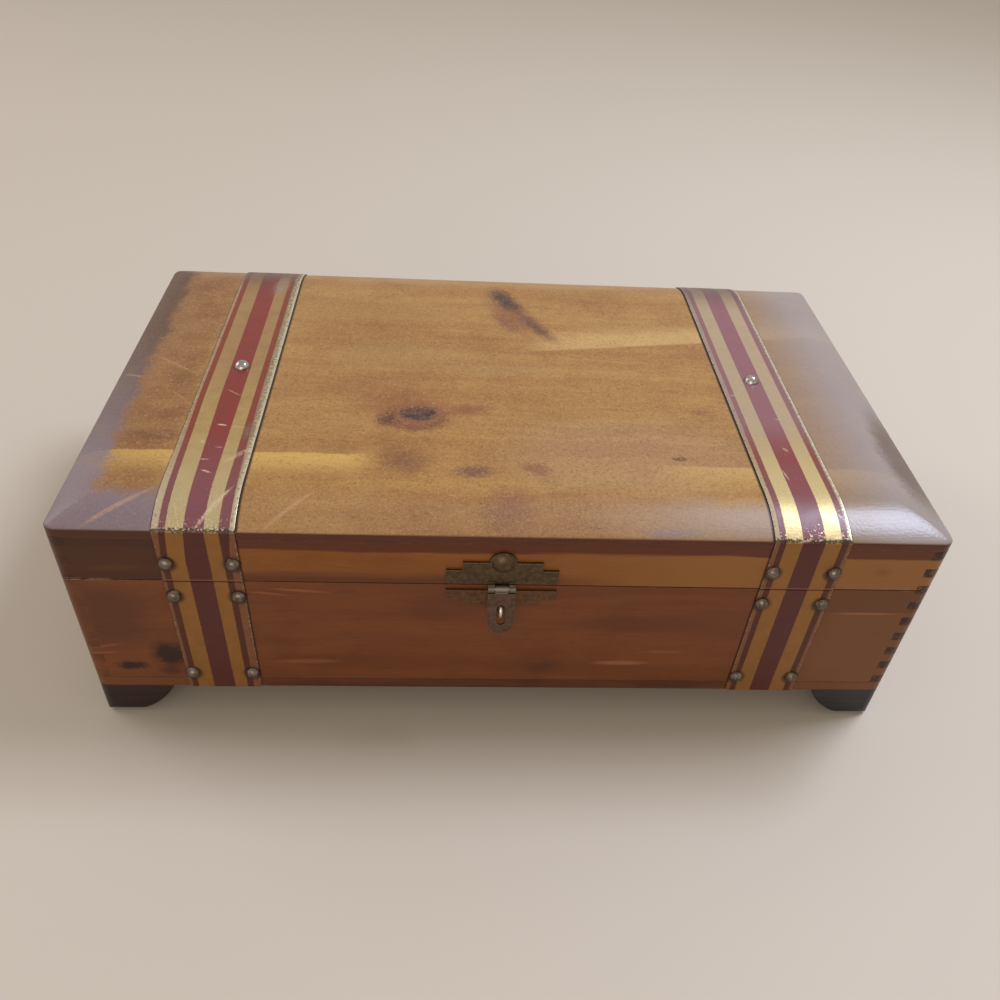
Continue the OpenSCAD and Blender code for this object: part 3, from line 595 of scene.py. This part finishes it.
    # Dirt: specks along the edges, a crack on the crease, a line over the seam, and rust
    # round the nails.
    grime = add("MapRange", noise(add, place, 0.9), 0.6, 0.68, 0.0, 0.75)
    grime = add("Math.MULTIPLY", grime, add("MapRange", from_edge, 0.14, 0.05, 0.12, 1.0))
    crack = add("Math.SUBTRACT", add("Math.MULTIPLY_ADD", grit, 2.4, z), CREASE + 1.5)
    crack = add("MapRange", add("Math.ABSOLUTE", crack), 0.5, 0.25, 0.0, 0.85)
    lip = add("Math.ABSOLUTE", add("Math.SUBTRACT", z, SEAM + 0.55))
    lip = add("MapRange", lip, 0.4, 0.2, 0.0, 0.6)
    rust = 0.0
    for level in NAIL_ROWS:
        side = add("Math.SUBTRACT", add("Math.ABSOLUTE", off), NAIL_SPREAD * 1000)
        ring = add("CombineXYZ", side, add("Math.SUBTRACT", z, (level - CASE_LOW_Z) * 1000 - 0.5), 0.0)
        ring = add("Math.MULTIPLY_ADD", patch, 1.5, add("VectorMath.LENGTH", ring))
        rust = add("Math.MAXIMUM", rust, add("MapRange", ring, 4.6, 3.3, 0.0, 0.8))
    for dirt_and_shadow, shade in ((grime, "#33271c"), (crack, "#28220f"), (lip, "#8a5546"), (rust, "#2a1a10")):
        colour = add("Mix", dirt_and_shadow, colour, shade, **RGB)
    marks = [
        ((-90.7, -76.6), (10.6, 0.9), 59, 0.8),
        ((-87.6, -53), (6.3, 1.2), 48, 0.4),
        ((-95.5, -61.5), (2.2, 0.5), -24, 0.8),
        ((-95.5, -36.6), (2.0, 0.5), -10, 0.9),
        ((-90, -37.5), (3.0, 0.3), -10, 0.6),
        ((-95.2, -17.2), (3.8, 0.3), -36, 0.5),
        ((-100.9, -79.6), (5.7, 0.35), -72, 0.5),
        ((-97.5, -55.4), (1.8, 0.35), 0, 0.7),
        ((-99.9, -46.1), (1.4, 0.7), -50, 0.5),
        ((-94, -48.9), (1.6, 0.3), 0, 0.6),
        ((91.2, -57), (0.4, 3.2), 10, 0.6),
        ((89.6, -66), (0.4, 3.2), -12, 0.6),
        ((91, -84), (3.0, 0.5), 12, 0.8),
        ((104, -76), (2.6, 0.4), -55, 0.8),
        ((103, -74), (2.2, 0.3), 25, 0.7),
        ((105.8, -34), (0.5, 7.0), 4, 0.7),
        ((97.4, -25), (1.6, 0.3), 0, 0.6),
        ((84.6, -10.3), (1.2, 0.4), 0, 0.7),
        ((95, -43), (0.7, 1.5), 30, 0.5),
    ]
    for centre, size, turn, strength in marks:
        mark = add("MapRange", oval(add, place, centre, size, turn), 1.0, 0.5, 0.0, strength)
        mark = product(add, mark, above, add("MapRange", grit, 0.38, 0.5))
        colour = add("Mix", mark, colour, "#d9bd9c", **RGB)
    for centre, size, shade, strength in (
        ((-86.2, -39.4), (1.8, 5.0), "#7c6753", 0.85),
        ((-90.5, 63.2), (3.4, 8.0), "#a59380", 0.6),
    ):
        worn = add("MapRange", oval(add, place, centre, size, -8), 1.2, 0.5, 0.0, strength)
        worn = product(add, worn, above, add("MapRange", grit, 0.4, 0.55))
        colour = add("Mix", worn, colour, shade, **RGB)
    # Painted shade: the strap's thin side faces are darkened, standing for the shadowed gap along its
    # edges.
    side = add("SeparateXYZ", add("TexCoord", out="Normal"), out=("X", "Y", "Z"))
    side = add("MapRange", add("Math.ABSOLUTE", side[0]), 0.6, 0.9)
    colour = add("Mix", side, colour, "#231710", **RGB)
    metal = add("Math.MAXIMUM", add("Math.MULTIPLY", gilt, 0.25), add("Math.MULTIPLY", fleck, 0.5))
    finish.set(Base_Color=colour, Metallic=metal)
    finish.set(Roughness=add("MapRange", patch, 0.3, 0.7, 0.3, 0.42))
    finish.set(Normal=add("Bump", 0.1, 0.0005, 1.0, grit))
    return finish.material


def aged_metal(name, dark, light, edge_shade, rough, metallic, relief=0.15, rubbed=None):
    """Old bronze or brass: two mottled shades, rubbed brighter on edges and round the pin."""
    finish = Finish(name, Metallic=metallic)
    add = finish.add
    place, _, _, z = millimetres(add)
    mottle = noise(add, place, 1.4, 4.0)
    pits = noise(add, place, 0.3)
    softened, edge = worn_rim(add, 0.0003)
    colour = add("Mix", add("MapRange", mottle, 0.36, 0.68), dark, light, **RGB)
    if rubbed:
        knuckle = add("MapRange", add("Math.ABSOLUTE", add("Math.SUBTRACT", z, SEAM)), 1.5, 1.2)
        colour = add("Mix", add("Math.MULTIPLY", knuckle, 0.9), colour, rubbed, **RGB)
    edge = add("Math.MULTIPLY", edge, add("MapRange", pits, 0.35, 0.6, 0.3, 0.9))
    finish.set(Base_Color=add("Mix", edge, colour, edge_shade, **RGB))
    finish.set(Roughness=add("MapRange", mottle, 0.3, 0.7, rough + 0.08, rough - 0.06))
    finish.set(Normal=add("Bump", relief, 0.0003, 1.0, pits, softened))
    return finish.material


def stained_foot(name):
    """Feet stained almost black, red-brown on the left and cooler on the right, satin."""
    finish = Finish(name, Specular_IOR_Level=0.35)
    add = finish.add
    place, x, _, _ = millimetres(add)
    grain = streaks(add, place, 0, 0.9, 14.0, 3.0)
    softened, edge = worn_rim(add, 0.0006)
    side = add("Math.GREATER_THAN", x, 0.0)
    low = add("Mix", side, "#21100b", "#1b1818", **RGB)
    high = add("Mix", side, "#351c13", "#2b2829", **RGB)
    colour = add("Mix", add("MapRange", grain, 0.4, 0.7), low, high, **RGB)
    colour = add("Mix", add("Math.MULTIPLY", edge, 0.25), colour, "#5a4034", **RGB)
    finish.set(Base_Color=colour, Roughness=0.4)
    finish.set(Normal=add("Bump", 0.12, 0.0005, 1.0, grain, softened))
    return finish.material


# Red cedar boards, sawn along the grain, planed and varnished. To the eye: long soft streaks
# under a satin coat. The top has yellowed to amber, the lid's front is ochre sapwood, and the
# base is red heartwood.
AMBER = ("#b58849", "#a4733b", "#87562d")
OCHRE = ("#8f561f", "#854c19", "#723c16")
RED = ("#7a421b", "#6d3a17", "#5a2f13")
lid_top_wood = cedar("lid top varnished cedar", 0, AMBER, 0.0, lid_edge_figure, 0.34, 0.36, 0.7)
lid_front_wood = cedar("lid front varnished cedar", 0, OCHRE, 7.0, lid_side_figure)
lid_side_wood = cedar("lid end varnished cedar", 1, OCHRE, 11.0, lid_side_figure)
base_front_wood = cedar("base front varnished cedar", 0, RED, 17.0, base_figure)
base_side_wood = cedar("base end varnished cedar", 1, RED, 23.0)
floor_wood = cedar("bottom board cedar", 0, ("#643618", "#532911", "#401e0d"), 29.0, floor_figure)
# Thin tinplate printed with lacquer: flat even stripes with a tinny gloss, and bright bare
# metal where they are rubbed through.
strap_paint = painted_tin("striped painted tin")
# Pressed heads washed with dark bronze: dull grey-brown, each with one small soft highlight.
nail_bronze = aged_metal("dark bronze nail heads", "#51473c", "#83766a", "#a89a84", 0.27, 0.8)
# Stamped brass plates toned brown: a low sheen, lighter where hands rubbed their edges.
upper_shades = ("#493a2a", "#66523c", "#85745a")
plate_bronze = aged_metal("dark bronze upper plate", *upper_shades, 0.38, 0.8, rubbed="#6a6056")
lower_bronze = aged_metal("browned bronze lower plate", "#583b2a", "#735036", "#7d5d43", 0.46, 0.7)
tongue_shades = ("#45332a", "#60493b", "#8a7261")
tongue_metal = aged_metal("browned bronze tongue", *tongue_shades, 0.38, 0.8, rubbed="#7d736a")
# Nickelled wire: one clean bright line along each bend.
bright_wire = aged_metal("nickel wire", "#c0b9ae", "#dfd9ce", "#e2dcd0", 0.2, 1.0, 0.05)
# Nickelled domes, dulled a little: pale grey, and smooth enough to mirror the lamps.
chrome = aged_metal("bright stud", "#8a8583", "#b8b4b1", "#e6e4e0", 0.14, 1.0, 0.03)
# Rolled brass, tarnished: a dull olive yellow with brighter edges.
brass = aged_metal("aged brass hinge", "#6f5a36", "#8a7347", "#b39b66", 0.36, 0.85)
# Softwood under a black-brown stain: almost no grain, and a faint line of light on the edges.
foot_stain = stained_foot("black stained foot")

FINISHES = {
    "lid_board": lid_top_wood,
    "lid_front": lid_front_wood,
    "lid_back": lid_front_wood,
    "lid_left": lid_side_wood,
    "lid_right": lid_side_wood,
    "base_front": base_front_wood,
    "base_back": base_front_wood,
    "base_left": base_side_wood,
    "base_right": base_side_wood,
    "base_floor": floor_wood,
    "hasp_upper_plate": plate_bronze,
    "hasp_lower_plate": lower_bronze,
    "hasp_pin": bright_wire,
    "hasp_tongue": tongue_metal,
    "hasp_staple": bright_wire,
    "strap_studs": chrome,
}
for name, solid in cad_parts.items():
    if name in FINISHES:
        finish = FINISHES[name]
    elif "strap" in name:
        finish = strap_paint
    elif "foot" in name:
        finish = foot_stain
    elif "hinge" in name:
        finish = brass
    else:
        finish = nail_bronze
    solid.data.materials.clear()
    solid.data.materials.append(finish)


def piece(name, stacks, body, finish, stands_for, sharp=40):
    """One piece from stacks of closed loops, for the solids it stands for.

    Loops join into quads and each stack is capped. Edges past sharp degrees stay sharp.
    """
    points, faces = [], []
    for rings in stacks:
        rings = np.asarray(rings, float)
        count, around = rings.shape[:2]
        index = np.arange(count * around).reshape(count, around)
        after = np.roll(index, -1, axis=1)
        quads = np.stack([index[:-1], after[:-1], after[1:], index[1:]], -1).reshape(-1, 4)
        corners = [rings.reshape(-1, 3)[quads[:, i]] for i in range(4)]
        facing = np.cross(corners[2] - corners[0], corners[3] - corners[1])
        inward = (facing * (sum(corners) - 4 * rings.mean((0, 1)))).sum() < 0
        caps = [index[0, ::-1].tolist(), index[-1].tolist()]
        if inward:
            quads, caps = quads[:, ::-1], [cap[::-1] for cap in caps]
        start = len(points)
        faces += (quads + start).tolist() + [[i + start for i in cap] for cap in caps]
        points += rings.reshape(-1, 3).tolist()
    mesh = bpy.data.meshes.new(name)
    mesh.from_pydata(points, [], faces)
    mesh.update()
    mesh.polygons.foreach_set("use_smooth", np.ones(len(mesh.polygons), bool))
    mesh.set_sharp_from_angle(angle=math.radians(sharp))
    made = bpy.data.objects.new(name, mesh)
    bpy.context.scene.collection.objects.link(made)
    mesh.materials.append(finish)
    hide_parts(*stands_for)
    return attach(made, body)


def fall(inset):
    """How far the lid has dropped at a distance in from an edge: an arc that ends level."""
    run = np.clip(PILLOW_REACH - inset, 0, PILLOW_REACH)
    return PILLOW_ARC - np.sqrt(PILLOW_ARC**2 - run**2)


def lid_height(x, y):
    """Top of the lid: both round-overs, blended over the hips by a mean of the eighth power."""
    ends = fall(HALF_X - np.abs(x))
    sides = fall(HALF_Y - np.abs(y - MID_Y))
    return TOP_Z - (ends**8 + sides**8) ** (1 / 8)


def rounded_loop(inset):
    """Plan of the case at an inset: straight runs joined by quarter circles, anticlockwise."""
    radius = max(CORNER - inset, LEAST_CORNER)
    across, deep = HALF_X - inset - radius, HALF_Y - inset - radius
    centres = np.array([(across, -deep), (across, deep), (-across, deep), (-across, -deep)])
    loop = []
    for k, count in enumerate(RUN_POINTS):
        turn = math.pi / 2 * (k - 1)
        out = radius * np.array([math.cos(turn), math.sin(turn)])
        share = np.linspace(0, 1, count)[:, None]
        loop.append(centres[k - 1] * (1 - share) + centres[k] * share + out)
        sweep = turn + np.linspace(0, math.pi / 2, CORNER_POINTS)[1:-1, None]
        loop.append(centres[k] + radius * np.hstack([np.cos(sweep), np.sin(sweep)]))
    return np.vstack(loop) + (0, MID_Y)


def lid_board_loops():
    """The lid board: upright edge, a small worn round, then the arc up to the level top."""
    flat = rounded_loop(0)
    loops = [np.column_stack([flat, np.full(len(flat), BOARD_LOW[2])])]
    for turn in np.linspace(0, math.pi / 2, EDGE_LOOPS):
        flat = rounded_loop(WORN_EDGE * (1 - math.cos(turn)))
        height = lid_height(*flat.T) - WORN_EDGE * (1 - math.sin(turn))
        loops.append(np.column_stack([flat, height]))
    for share in np.linspace(0, 1, ARC_LOOPS)[1:]:
        flat = rounded_loop(WORN_EDGE + (PILLOW_REACH + ARC_PAST - WORN_EDGE) * share)
        loops.append(np.column_stack([flat, lid_height(*flat.T)]))
    return loops


def lid_strap_path():
    """Y and Z of the wood over the lid: up the front, round the worn edge, along the arc and
    the level top, then the same mirrored down the back."""
    turn = np.linspace(0, math.pi / 2, EDGE_POINTS)
    arc = np.linspace(WORN_EDGE, PILLOW_REACH, ARC_POINTS)[1:]
    level = np.linspace(PILLOW_REACH, HALF_Y, TOP_POINTS)[1:]
    inset = np.concatenate([WORN_EDGE * (1 - np.cos(turn)), arc, level])
    height = lid_height(0, MID_Y - HALF_Y + inset)
    height[: len(turn)] -= WORN_EDGE * (1 - np.sin(turn))
    edge = lid_height(0, MID_Y - HALF_Y + WORN_EDGE)
    rise = np.linspace(LID_RIM_Z, edge - WORN_EDGE, FRONT_POINTS)[:-1]
    upright = np.column_stack([np.full(len(rise), -HALF_Y), rise])
    half = np.vstack([upright, np.column_stack([inset - HALF_Y, height])])
    return np.vstack([half, half[-2::-1] * (-1, 1)]) + (MID_Y, 0)


def strap_loops(path, centre, dents):
    """A strip along a path in Y and Z: one section with rolled long edges, carried along it.

    Its face rises and falls in two crossed waves, and sinks round each driven head by a bell
    curve of the distance from it.
    """
    along = np.gradient(path, axis=0)
    along /= np.linalg.norm(along, axis=1)[:, None]
    normal = np.column_stack([-along[:, 1], along[:, 0]])
    half, roll = STRAP_W / 2, STRAP_ROLL
    turn = np.linspace(0, math.pi / 2, 4)
    right = np.column_stack(
        [half - roll + roll * np.cos(turn), STRAP_T - roll + roll * np.sin(turn)]
    )
    middle = np.column_stack([np.linspace(half - roll, roll - half, 15)[1:-1], np.full(13, STRAP_T)])
    left = right[::-1] * (-1, 1)
    section = np.vstack([[(half, 0)], right, middle, left, [(-half, 0)]])
    run = np.concatenate([[0], np.cumsum(np.linalg.norm(np.diff(path, axis=0), axis=1))])
    x, run = section[None, :, 0], run[:, None]
    slack = STRAP_SLACK * np.sin(run * WAVE_ALONG + centre * WAVE_SHIFT)
    slack = slack * np.sin(x * WAVE_ACROSS + run * WAVE_ASLANT)
    for dent_x, dent_run in dents:
        away = ((x - dent_x) ** 2 + (run - dent_run) ** 2) / DENT_REACH**2
        slack = slack - DENT_DEPTH * np.exp(-away)
    height = STRAP_SEAT + section[None, :, 1] + slack * (section[None, :, 1] > 0)
    offset = normal[:, None, :] * height[:, :, None]
    loops = np.empty(offset.shape[:2] + (3,))
    loops[..., 0] = centre + section[None, :, 0]
    loops[..., 1:] = path[:, None, :] + offset
    return loops


def dome_loops(middle, axis, face, head, height, seed, flats=5):
    """A driven head: a spherical cap cut by a few slanting planes, its rim a circle that swells
    by two small waves, as the hammer left it.
    """
    random = np.random.default_rng(seed)
    turn = np.linspace(0, 2 * math.pi, RIM_POINTS, endpoint=False)
    rim = np.ones(RIM_POINTS)
    for waves, swell in RIM_WAVES:
        rim += swell * np.sin(waves * turn + random.uniform(0, 6))
    ball = (head**2 / 4 + height**2) / (2 * height)
    lean = np.radians(random.uniform(*FLAT_LEAN, flats))
    towards = random.uniform(0, 2 * math.pi, flats)
    reach = ball * random.uniform(*FLAT_DEPTH, flats)
    u_axis, v_axis = [Vector((1, 0, 0)), Vector((0, 0, 1)) if axis[1] else Vector((0, 1, 0))]
    u_axis, v_axis, out = (np.array(v) for v in (u_axis, v_axis, axis))
    loops = []
    # Rings are shares of the radius, from the rim to the crown; None is the rim, sunk in. A
    # swollen rim stops just short of the ball's own radius.
    for ring in [None] + list(np.linspace(1, 0.04, 11) ** 0.8):
        radius = np.minimum(head / 2 * rim * (ring or 1.0), ball * 0.999)
        level = np.sqrt(ball**2 - np.minimum(radius, head / 2) ** 2) - (ball - height)
        u, v = radius * np.cos(turn), radius * np.sin(turn)
        for tilt, way, depth in zip(lean, towards, reach):
            leaning = math.sin(tilt) * (u * math.cos(way) + v * math.sin(way))
            level = np.minimum(level, (depth - leaning) / math.cos(tilt) - (ball - height))
        level = np.maximum(level, 0) + face
        if ring is None:
            level = np.full(len(turn), face - HEAD_SUNK)
        base = np.array(middle, float) * (1 - np.abs(out))
        loops.append(base + u[:, None] * u_axis + v[:, None] * v_axis + level[:, None] * out)
    return loops


piece("lid_top", [lid_board_loops()], "lid", lid_top_wood, ["lid_board"])

lid_path = lid_strap_path()
lid_run = np.linalg.norm(np.diff(lid_path, axis=0), axis=1).sum()
for middle, word in zip(STRAP_X, ("left", "right")):
    first = middles("lid_front_nails", 2)[0] - LID_RIM_Z
    dents = [(end * NAIL_SPREAD, at) for end in (-1, 1) for at in (first, lid_run - first)]
    dents.append((0, lid_run / 2))
    piece(
        f"lid_band_{word}",
        [strap_loops(lid_path, middle, dents)],
        "lid",
        strap_paint,
        [f"lid_strap_{word}"],
    )
    for face, where in ((-1, "front"), (1, "back")):
        z = np.linspace(CASE_LOW_Z, BASE_RIM_Z, 40)[::-face]
        path = np.column_stack([np.full(len(z), MID_Y + face * HALF_Y), z])
        rows = [abs(level - z[0]) for level in middles("base_front_nails", 2)]
        dents = [(end * NAIL_SPREAD, row) for end in (-1, 1) for row in rows]
        piece(
            f"base_band_{where}_{word}",
            [strap_loops(path, middle, dents)],
            "base",
            strap_paint,
            [f"base_strap_{where}_{word}"],
        )

strap_face = HALF_Y + STRAP_SEAT + STRAP_T
for node, body, face, axis in (
    ("base_front_nails", "base", strap_face - MID_Y, (0, -1, 0)),
    ("base_back_nails", "base", strap_face + MID_Y, (0, 1, 0)),
    ("lid_front_nails", "lid", strap_face - MID_Y, (0, -1, 0)),
    ("lid_back_nails", "lid", strap_face + MID_Y, (0, 1, 0)),
):
    places = [(x, 0, z) for x in middles(node, 0) for z in middles(node, 2)]
    stacks = [
        dome_loops(at, axis, face, NAIL_HEAD, NAIL_RISE, 11 + i + len(node))
        for i, at in enumerate(places)
    ]
    piece(node.replace("nails", "heads"), stacks, body, nail_bronze, [node], 25)
stacks = [
    dome_loops((x, MID_Y, 0), (0, 0, 1), TOP_Z + STRAP_SEAT + STRAP_T, STUD_HEAD, STUD_RISE, 3, 0)
    for x in STRAP_X
]
piece("top_stud_heads", stacks, "lid", chrome, ["strap_studs"])

# Plain pale floor, well past the picture's edge.
FLOOR_REACH = 4.0
floor_corners = [(x * FLOOR_REACH, y * FLOOR_REACH, 0) for x, y in ((-1, -1), (1, -1), (1, 1), (-1, 1))]
floor_mesh = bpy.data.meshes.new("floor")
floor_mesh.from_pydata(floor_corners, [], [(0, 1, 2, 3)])
floor = bpy.data.objects.new("floor", floor_mesh)
bpy.context.scene.collection.objects.link(floor)
floor_finish = Finish("pale floor", Base_Color="#d3c5b0", Roughness=0.6)
floor_mesh.materials.append(floor_finish.material)

# A pale surround: seen by the camera and in reflections at full white level, and dimmer as
# the light that fills the shadows.
FILL_LEVEL, SHOWN_LEVEL = 0.42, 1.0
world = bpy.data.worlds.new("surround")
bpy.context.scene.world = world
world.use_nodes = True
sky = world.node_tree
sky.nodes.clear()
rays = sky.nodes.new("ShaderNodeLightPath")
seen = rays.outputs["Is Camera Ray"]
for ray in ("Is Glossy Ray", "Is Transmission Ray"):
    either = sky.nodes.new("ShaderNodeMath")
    either.operation = "MAXIMUM"
    sky.links.new(seen, either.inputs[0])
    sky.links.new(rays.outputs[ray], either.inputs[1])
    seen = either.outputs[0]
choose = sky.nodes.new("ShaderNodeMixShader")
sky.links.new(seen, choose.inputs["Fac"])
for socket, shade, strength in ((1, "#f4f1ec", FILL_LEVEL), (2, "#e4dccf", SHOWN_LEVEL)):
    background = sky.nodes.new("ShaderNodeBackground")
    background.inputs["Color"].default_value = linear(shade)
    background.inputs["Strength"].default_value = strength
    sky.links.new(background.outputs[0], choose.inputs[socket])
output = sky.nodes.new("ShaderNodeOutputWorld")
sky.links.new(choose.outputs[0], output.inputs["Surface"])

BOX_MIDDLE = (0, 0, 0.06)


def lamp(name, place, size, power, colour):
    """A soft lamp, size wide and high, that faces the middle of the box."""
    light = bpy.data.lights.new(name, "AREA")
    light.shape = "RECTANGLE"
    light.size, light.size_y = size
    light.energy = power
    light.color = linear(colour)[:3]
    made = bpy.data.objects.new(name, light)
    made.location = place
    made.rotation_mode = "QUATERNION"
    made.rotation_quaternion = (Vector(BOX_MIDDLE) - Vector(place)).to_track_quat("-Z", "Y")
    bpy.context.scene.collection.objects.link(made)


lamp("high right lamp", (0.62, 0.2, 1.02), (0.45, 0.32), 10.0, "#dbe5ff")
lamp("left lamp", (-1.25, 0.5, 0.85), (0.8, 0.8), 5.5, "#f3eeff")
lamp("front lamp", (-0.3, -1.4, 0.7), (1.0, 1.0), 5.0, "#fff6ec")

# The camera stands where the photograph was taken: above the front, turned a little right
# and rolled about four degrees.
YAW, PITCH, ROLL = 0.082, 0.7006, 0.073
CAMERA_AT = (-0.0212, -0.2825, 0.2724)
SENSOR_MM, FOCAL_MM = 36, 32.362
forward = Vector((math.sin(YAW) * math.cos(PITCH), math.cos(YAW) * math.cos(PITCH), -math.sin(PITCH)))
level_right = Vector((math.cos(YAW), -math.sin(YAW), 0))
level_up = level_right.cross(forward)
right = level_right * math.cos(ROLL) + level_up * math.sin(ROLL)
up = level_up * math.cos(ROLL) - level_right * math.sin(ROLL)
lens = bpy.data.cameras.new("camera")
lens.sensor_width = SENSOR_MM
lens.lens = FOCAL_MM
lens.clip_start, lens.clip_end = 0.01, 50
camera = bpy.data.objects.new("camera", lens)
camera.rotation_mode = "QUATERNION"
camera.rotation_quaternion = Matrix((right, up, -forward)).transposed().to_quaternion()
camera.location = CAMERA_AT
bpy.context.scene.collection.objects.link(camera)
bpy.context.scene.camera = camera
bpy.context.scene.view_settings.view_transform = "Standard"
